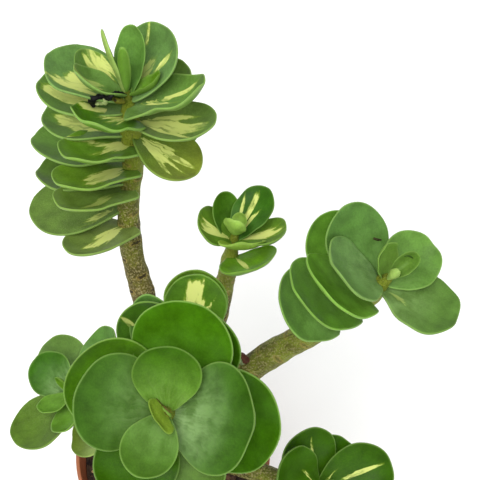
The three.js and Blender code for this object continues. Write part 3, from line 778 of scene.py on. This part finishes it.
def make_pot(material):
    """The moulded pot, turned from its profile, with its drain holes punched."""
    collar = POT_HEIGHT - COLLAR_HEIGHT
    corners = [(0, 0, 0), (BASE_RADIUS, 0, 1.5), (outer_radius(40), 40, 0),
               (outer_radius(collar), collar, 0.3), (RIM_RADIUS - 1.2, collar, 0.5),
               (RIM_RADIUS - 0.6, POT_HEIGHT - 3, 0.3), (RIM_RADIUS, POT_HEIGHT - 2.4, 0.5),
               (RIM_RADIUS, POT_HEIGHT, 0.75), (RIM_RADIUS - LIP_WIDTH, POT_HEIGHT, 0.6),
               (outer_radius(collar) - WALL, KNEE, 1.0), (outer_radius(40) - WALL, 40, 0),
               (outer_radius(FLOOR) - WALL, FLOOR, 1.0), (0, FLOOR, 0)]
    wall = tube([circle(np.array([0, 0, z]), r, POT_SIDES) for r, z in rounded(corners)])
    mesh = new_mesh("pot_blank", *wall)
    for spot in circle(np.zeros(3), DRAIN_CIRCLE, DRAIN_HOLES):
        ends = [circle(spot + np.array([0, 0, z]), DRAIN_RADIUS, 32) for z in (-4, 4)]
        punch = put("punch", new_mesh("punch", *tube(ends)))
        blank = put("pot_blank", mesh)
        cut = blank.modifiers.new("Hole", "BOOLEAN")
        cut.object = punch
        cut.operation = "DIFFERENCE"
        cut.solver = "EXACT"
        mesh = applied(blank)
        bpy.data.objects.remove(punch)
    pot = finish_piece("nursery_pot", mesh, material)
    mesh.set_sharp_from_angle(angle=40 * TURN)
    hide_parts("pot")


# Soil


def soil_height(x, y):
    return SOIL_TOP + 0.6 * np.sin(x / 5) * np.cos(y / 6) + 0.4 * np.sin((x + 2 * y) / 4)


def make_soil(material):
    """The potting mix, with a crumbly top and a bore for the stem's foot."""
    hole = FOOT_RADIUS + SEAT_GAP
    near, bore = (np.array(circle(np.array([*FOOT_PLACE, z]), hole, SOIL_SIDES))
                  for z in (0, SOIL_TOP - FOOT_DEPTH))
    rim = np.array(circle(np.zeros(3), inside_radius(SOIL_TOP) - SEAT_GAP, SOIL_SIDES))
    points = np.concatenate([near + (rim - near) * (k / SOIL_RINGS) ** 0.8 for k in range(SOIL_RINGS + 1)])
    crumbs = (0.5 * crinkle(points, 9, 11) + 0.55 * crinkle(points, 3.6, 12)
              + 0.4 * crinkle(points, 2.0, 13))
    still = np.repeat([0.0] + [1.0] * (SOIL_RINGS - 1) + [0.0], SOIL_SIDES)
    points[:, 2] = soil_height(points[:, 0], points[:, 1]) + crumbs * still
    walls = [circle(np.array([0, 0, z]), inside_radius(inner) - SEAT_GAP, SOIL_SIDES)
             for z, inner in ((FLOOR + SEAT_GAP, FLOOR), (KNEE, KNEE))]
    top = np.split(points, SOIL_RINGS + 1)
    spots, faces = tube(walls + top[::-1] + [bore])
    made = finish_piece("potting_soil", new_mesh("soil", spots, faces), material)
    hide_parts("soil")


def pebble_shape(luck, size, stretch):
    """One crumb: a ball of 42 points, pulled out of true."""
    ball = bmesh.new()
    bmesh.ops.create_icosphere(ball, subdivisions=2, radius=1)
    spots = np.array([v.co for v in ball.verts])
    faces = [tuple(v.index for v in f.verts) for f in ball.faces]
    ball.free()
    spots *= 1 + 0.2 * crinkle(spots, 1.4, int(luck.integers(1e6)))[:, None]
    spots = spots * np.array([stretch, 1, luck.uniform(0.5, 0.9)]) * size
    turn = luck.uniform(0, 6.28)
    tip = luck.normal(0, 0.35)
    c, s = math.cos(tip), math.sin(tip)
    spots = spots @ np.array([[c, 0, s], [0, 1, 0], [-s, 0, c]])
    c, s = math.cos(turn), math.sin(turn)
    spots = spots @ np.array([[c, s, 0], [-s, c, 0], [0, 0, 1]])
    return spots, faces


def make_crumbs(material):
    """Bark crumbs, grit and bits of fibre that lie on the mix, half sunk in it."""
    luck = np.random.default_rng(77)
    parts, tones = [], []
    for k in range(CRUMBS):
        far = (inside_radius(SOIL_TOP) - 2.2) * math.sqrt(luck.uniform(0.02, 1))
        a = luck.uniform(0, 6.28)
        x, y = far * math.cos(a), far * math.sin(a)
        if math.hypot(x - FOOT_PLACE[0], y - FOOT_PLACE[1]) < FOOT_RADIUS + 2:
            continue
        grit = luck.uniform() < GRIT_SHARE
        size = luck.uniform(*GRIT_SIZE) if grit else luck.uniform(*CHIP_SIZE)
        spots, quads = pebble_shape(luck, size, 1.1 if grit else luck.uniform(1.1, 2.6))
        parts.append((spots + np.array([x, y, float(soil_height(x, y)) + size * 0.25]), quads))
        tones.append(np.tile([1.0 if grit else 0.0, luck.uniform(), 0.0], (len(spots), 1)))
    made = finish_piece("soil_crumbs", new_mesh("crumbs", *joined(parts)), material)
    keep(made.data, "tone", np.concatenate(tones))


def make_scraps(material):
    """Each scrap is a crinkled tube along its path."""
    parts, tints = [], []
    for k, (tint, path, radii) in enumerate(SCRAPS):
        route = Route(path)
        spots, quads = route_tube(route, max(int(route.length * 2), 4), SCRAP_SIDES,
                                  lambda share: np.interp(share, np.linspace(0, 1, len(radii)), radii))
        spots = np.asarray(spots)
        shake = np.column_stack([crinkle(spots, 2.4, 400 + 3 * k + axis) for axis in range(3)])
        parts.append((spots + 0.16 * max(radii) * shake, quads))
        tints.append(np.tile(linear(tint), (len(spots), 1)))
    made = finish_piece("dried_scraps", new_mesh("scraps", *joined(parts)), material)
    keep(made.data, "flesh", np.concatenate(tints))


# Materials

# A pattern's scale is one over the size of its grain, in the units of what it is laid on: millimetres
# on a leaf's blade and along a stem, and metres in the object's own place.


def plug(tree, socket, value):
    """Links a socket to another node's output, or sets its own value."""
    if isinstance(value, bpy.types.NodeSocket):
        tree.links.new(value, socket)
    elif value is not None:
        socket.default_value = value


def add(tree, kind, *values, **settings):
    """Adds one node with its settings and fills its open sockets in order. It gives the node's open
    output, or all of them where there are more."""
    made = tree.nodes.new("ShaderNode" + kind)
    for name, setting in settings.items():
        setattr(made, name, setting)
    for socket, value in zip([socket for socket in made.inputs if socket.enabled], values):
        plug(tree, socket, value)
    outputs = [socket for socket in made.outputs if socket.enabled]
    return outputs if len(outputs) > 1 else outputs[0]


def start_material(name):
    """A new material, and the function that adds a node to it."""
    material = bpy.data.materials.new(name)
    material.use_nodes = True
    return material, functools.partial(add, material.node_tree)


def finish_material(material, **sockets):
    """Links or sets the shader's own sockets."""
    shader = material.node_tree.nodes["Principled BSDF"]
    for name, value in sockets.items():
        plug(material.node_tree, shader.inputs[name.replace("_", " ")], value)
    return material


def leaf_material():
    """A living, fleshy leaf: green water tissue under a waxy skin, grown, not made. The skin gives a
    satin gloss with soft broad highlights, the flesh a slight glow, and cream flames show where
    cells lack their green."""
    material, node = start_material("fleshy_leaf")
    blade = node("Attribute", attribute_name="blade")[1]
    x, y, leaf = node("SeparateXYZ", blade)
    flame, gap, under = node("SeparateXYZ", node("Attribute", attribute_name="marks")[1])
    bloom, rays, specks = node("SeparateXYZ", node("Attribute", attribute_name="skin")[1])
    strength, rim_highlight_strength = node("SeparateXYZ", node("Attribute", attribute_name="extra")[1])[:2]

    # Mottling in patches of about 7 mm, grain of about 1 mm, and pores of about 0.3 mm.
    mottle = node("TexNoise", blade, 0.14, 3)[0]
    grain = node("TexNoise", blade, 1.1, 2)[0]
    fine = node("TexNoise", blade, 3.6, 2)[0]

    # Fingers and rays fan out from the leaf's root, a finger every 6 degrees or so and a ray every 4.
    turn = node("Math", y, node("Math", x, 6), operation="ARCTAN2")
    away = node("VectorMath", node("CombineXYZ", x, y), operation="LENGTH")
    fan = node("CombineXYZ", node("Math", turn, 9, **TIMES), node("Math", away, 0.05, **TIMES), leaf)
    finger = node("TexNoise", fan, 1, 2)[0]
    bend = node("Math", turn, 13, node("Math", mottle, 4, **TIMES), **TIMES_PLUS)
    ray = node("TexNoise", node("CombineXYZ", bend, node("Math", away, 0.07, **TIMES), leaf), 1, 3)[0]

    shade = node("Math", node("MapRange", mottle, 0.3, 0.7, 0.78, 1.2),
                 node("MapRange", grain, 0.3, 0.7, 0.9, 1.1), **TIMES)
    colour = node("VectorMath", node("Attribute", attribute_name="flesh")[0], shade, **SCALED)
    streak = node("Math", node("MapRange", ray, 0.4, 0.75, 0, 0.42), rays, **TIMES)
    speck = node("Math", node("MapRange", fine, 0.6, 0.68, 0, 0.55), specks, **TIMES)
    # White bloom, partly real wax and partly painted sheen, in drifts that follow the mottle and the rays.
    drift = node("Math", mottle, 0.7, node("Math", ray, 0.3, **TIMES), **TIMES_PLUS)
    bloom_and_sheen = node("Math", bloom, node("MapRange", drift, 0.4, 0.58, 0.25, 1), **TIMES)

    # A flame's edge is frayed into fingers of up to about 6 mm and nibbled by half a millimetre, and
    # streaks of green run into all but a strong one's core.
    frayed = node("Math", finger, 30, node("Math", flame, 0.47 * 30, **MINUS), **TIMES_PLUS)
    edge = node("Math", grain, 3, node("Math", frayed, 0.5 * 3, **MINUS), **TIMES_PLUS)
    core = node("Math", node("MapRange", edge, 1.5, 7), node("MapRange", strength, 0.72, 0.9), **TIMES)
    solid = node("Math", node("MapRange", ray, 0.36, 0.48, 0.25, 1), core, operation="MAXIMUM")
    solid = node("Math", solid, strength, **TIMES)
    halo = node("Math", node("MapRange", edge, -2.6, 0.6, 0, 0.7), solid, **TIMES)
    cream = node("Math", node("MapRange", edge, 0, 1.3, 0, 0.97), solid, **TIMES)

    # The rim is a pale band of about 1 mm, a painted highlight where light catches the thick edge,
    # and the underside is a little paler than the face.
    ragged = node("Math", grain, 0.4, gap, **TIMES_PLUS)
    rim = node("Math", node("MapRange", ragged, 0.5, 1.05, 0.46, 0), rim_highlight_strength, **TIMES)
    below = node("Math", under, 0.2, **TIMES)
    for amount, tint in ((streak, "93b058"), (speck, "b4c47e"), (bloom_and_sheen, "93b07a"), (halo, "86a032"),
                         (cream, "ccd47a"), (rim, "93b25e"), (below, "7f9c4c")):
        colour = node("Mix", amount, colour, linear(tint), **TINTED)

    rough = node("Math", bloom, 0.12, node("MapRange", mottle, 0.3, 0.7, 0.36, 0.5), **TIMES_PLUS)
    height = node("Math", fine, 0.25, node("Math", mottle, 1.2, **TIMES), **TIMES_PLUS)
    height = node("Math", ray, 0.05, height, **TIMES_PLUS)
    return finish_material(material, Base_Color=colour, Roughness=rough, IOR=1.42,
                           Specular_IOR_Level=0.13, Subsurface_Weight=0.12,
                           Subsurface_Radius=(0.6, 1.0, 0.25), Subsurface_Scale=0.0015,
                           Normal=node("Bump", 0.35, 0.0004, None, height))


def bark_material():
    """The stem's own skin: thin living bark, olive green when young and corky grey-brown with age.
    It is matte, and its leaf scars, cracks and pale breathing pores show as fine relief."""
    material, node = start_material("thin_bark")
    age, scar = node("SeparateXYZ", node("Attribute", attribute_name="stem")[1])[:2]
    wrap = node("Attribute", attribute_name="wrap")[1]
    position = node("TexCoord")[3]
    # Patches of about 8 mm, flecks of 1 mm, pores 3 mm apart, and cracks that run along the stem.
    patch = node("TexNoise", position, 120, 4)[0]
    fleck = node("TexNoise", position, 950, 2)[0]
    pores = node("TexVoronoi", position, 330)[0]
    crack = node("TexNoise", node("VectorMath", wrap, (0.22, 1, 1), **TIMES), 1.6, 4)[0]

    old = node("Math", patch, 0.9, node("Math", age, 0.5 * 0.9, **MINUS), **TIMES_PLUS)
    old = node("MapRange", old, 0, 0.9)
    plain = node("MapRange", age, 0, 0.25, 0.15, 1)
    dark = node("Math", node("MapRange", patch, 0.44, 0.66, 0, 0.65), plain, **TIMES)
    split = node("Math", node("MapRange", crack, 0.5, 0.66, 0, 0.7), plain, **TIMES)
    pale = node("Math", node("MapRange", fleck, 0.5, 0.68, 0, 0.7), plain, **TIMES)
    pore = node("Math", node("MapRange", pores, 0.14, 0.24, 0.75, 0), age, **TIMES)
    lip = node("Math", node("Math", scar, node("Math", 1, scar, **MINUS), **TIMES), 2.4, **TIMES)
    core = node("Math", node("MapRange", scar, 0.5, 0.9, 0, 0.85),
                node("MapRange", age, 0.1, 0.5, 0.35, 1), **TIMES)
    colour = linear("7c8a24")
    for amount, tint in ((old, "64522c"), (dark, "3a3715"), (split, "413616"), (pale, "b5a877"),
                         (pore, "ab9a58"), (lip, "a08c48"), (core, "2c2110")):
        colour = node("Mix", amount, colour, linear(tint), **TINTED)

    rough = node("MapRange", age, 0, 1, 0.55, 0.85)
    height = node("Math", crack, -1.4, fleck, **TIMES_PLUS)
    return finish_material(material, Base_Color=colour, Roughness=rough, IOR=1.45, Specular_IOR_Level=0.3,
                           Normal=node("Bump", 0.9, 0.0012, None, height))


def scrap_material():
    """Dead plant tissue, dried where it grew: a shrivelled flower, papery scales and corky wounds.
    It is matte, brittle and finely wrinkled, about 1 mm from fold to fold."""
    material, node = start_material("dry_tissue")
    wrinkle = node("TexNoise", node("TexCoord")[3], 900, 3)[0]
    shade = node("MapRange", wrinkle, 0.3, 0.7, 0.7, 1.25)
    colour = node("VectorMath", node("Attribute", attribute_name="flesh")[0], shade, **SCALED)
    return finish_material(material, Base_Color=colour, Roughness=0.7, Specular_IOR_Level=0.25,
                           Normal=node("Bump", 0.6, 0.0004, None, wrinkle))


def pot_material():
    """Polypropylene, injection moulded in brick red. It is satin, the top of its lip is painted paler
    as a painted highlight, and painted shade darkens its inside wall, most down by the soil."""
    material, node = start_material("moulded_polypropylene")
    position = node("TexCoord")[3]
    x, y, z = node("SeparateXYZ", position)
    # Handling marks of about 17 mm, and the mould's fine grain, drawn at 1 mm so that it shows.
    patch = node("TexNoise", position, 60, 4)[0]
    fine = node("TexNoise", position, 900, 2)[0]
    spread = node("VectorMath", node("CombineXYZ", x, y), operation="LENGTH")
    # Painted highlight: the top millimetre of the lip is painted paler, as if lit from above.
    lip_highlight = node("MapRange", node("Math", patch, 0.001, z, **TIMES_PLUS), 0.0948, 0.0956, 0, 0.55)
    # Inside is nearer the axis than the middle of the wall, which leans out as it rises.
    middle = node("MapRange", z, 0, 0.078, 0.0363, 0.0476)
    within = node("MapRange", node("Math", spread, middle, **MINUS), 0, 0.0004, 1, 0)
    # Painted shade: the inside wall is darkened, most down by the soil and less up at the lip.
    inner_wall_shade = node("Math", within, node("MapRange", z, 0.084, 0.0945, 0.95, 0.75), **TIMES)
    colour = linear("8a4c30")
    for amount, tint in ((node("MapRange", patch, 0.35, 0.65), "9a5a3b"), (lip_highlight, "ab6c4a"),
                         (inner_wall_shade, "2c130a")):
        colour = node("Mix", amount, colour, linear(tint), **TINTED)
    rough = node("MapRange", patch, 0.3, 0.7, 0.36, 0.52)
    return finish_material(material, Base_Color=colour, Roughness=rough, IOR=1.49,
                           Normal=node("Bump", 0.2, 0.0002, None, fine))


def mix_material():
    """Potting mix: damp composted bark and peat, sieved and pressed in by hand. It is almost black
    and fully matte, in clods of about 4 mm with lighter fibres of 1 mm."""
    material, node = start_material("potting_mix")
    position = node("TexCoord")[3]
    clod = node("TexNoise", position, 260, 5)[0]
    fibre = node("TexNoise", position, 900, 3)[0]
    colour = linear("1b0f08")
    for amount, tint in ((node("MapRange", clod, 0.35, 0.68), "4a3422"),
                         (node("MapRange", fibre, 0.62, 0.72, 0, 0.6), "77593b")):
        colour = node("Mix", amount, colour, linear(tint), **TINTED)
    return finish_material(material, Base_Color=colour, Roughness=0.95,
                           Normal=node("Bump", 0.9, 0.001, None, clod))


def crumb_material():
    """Loose bits on the mix: chips of composted bark, dark brown, and tan grit, with a grain of
    about 1 mm."""
    material, node = start_material("bark_crumbs")
    grit, tone = node("SeparateXYZ", node("Attribute", attribute_name="tone")[1])[:2]
    grain = node("TexNoise", node("TexCoord")[3], 800, 3)[0]
    colour = linear("25150c")
    for amount, tint in ((tone, "5d4229"), (grit, "a98a5e")):
        colour = node("Mix", amount, colour, linear(tint), **TINTED)
    colour = node("VectorMath", colour, node("MapRange", grain, 0.3, 0.7, 0.7, 1.2), **SCALED)
    return finish_material(material, Base_Color=colour, Roughness=0.9,
                           Normal=node("Bump", 0.6, 0.0004, None, grain))


def floor_material():
    """A plain painted table top, pale and matte, that keeps the plant's soft shadow. Its shade
    drifts a little over about 30 mm."""
    material, node = start_material("pale_floor")
    grain = node("TexNoise", node("TexCoord")[3], 30, 2)[0]
    colour = node("Mix", grain, linear("f9f9f8"), linear("fcfcfb"), **TINTED)
    return finish_material(material, Base_Color=colour, Roughness=0.8)


# Floor, light and camera


def make_floor():
    corners = [(x * FLOOR_REACH, y * FLOOR_REACH, 0) for x, y in ((-1, -1), (1, -1), (1, 1), (-1, 1))]
    mesh = new_mesh("floor", corners, [(0, 1, 2, 3)])
    mesh.materials.append(floor_material())
    made = put("floor", mesh)


def make_lamp(name, place, power, size, colour):
    """A square soft box that faces the middle of the plant."""
    lamp = bpy.data.lights.new(name, "AREA")
    lamp.energy = power
    lamp.size = size
    lamp.color = colour
    made = put(name, lamp)
    made.location = place
    made.rotation_euler = (Vector(LIT_POINT) - Vector(place)).to_track_quat("-Z", "Y").to_euler()


def make_light():
    """A white tent of sky light, with a warm key from above and a weak cool fill from the front."""
    world = bpy.data.worlds.new("studio")
    bpy.context.scene.world = world
    world.use_nodes = True
    sky = world.node_tree.nodes["Background"]
    sky.inputs["Color"].default_value = (0.97, 0.985, 1.0, 1.0)
    sky.inputs["Strength"].default_value = 0.82
    make_lamp("key_light", (-0.3, -0.35, 1.3), 15.5, 0.9, (1.0, 0.985, 0.95))
    make_lamp("fill_light", (0.6, -0.9, 0.9), 5, 1.0, (0.97, 0.985, 1.0))
    view = bpy.context.scene.view_settings
    view.view_transform = "Standard"
    view.look = "None"
    view.exposure = 0
    view.gamma = 1


def make_camera():
    camera = bpy.data.cameras.new("camera")
    camera.lens = LENS
    camera.sensor_width = 36
    made = put("camera", camera)
    made.location = CAMERA_PLACE
    made.rotation_euler = (CAMERA_TILT * TURN, 0, 0)
    bpy.context.scene.camera = made


# The plant in its pot

make_camera()
make_light()
make_floor()
make_pot(pot_material())
make_soil(mix_material())
make_crumbs(crumb_material())
make_stems(bark_material())
make_scraps(scrap_material())
leaf_skin = leaf_material()
for number, name in enumerate(STEMS):
    make_leaves(number, name, leaf_skin)
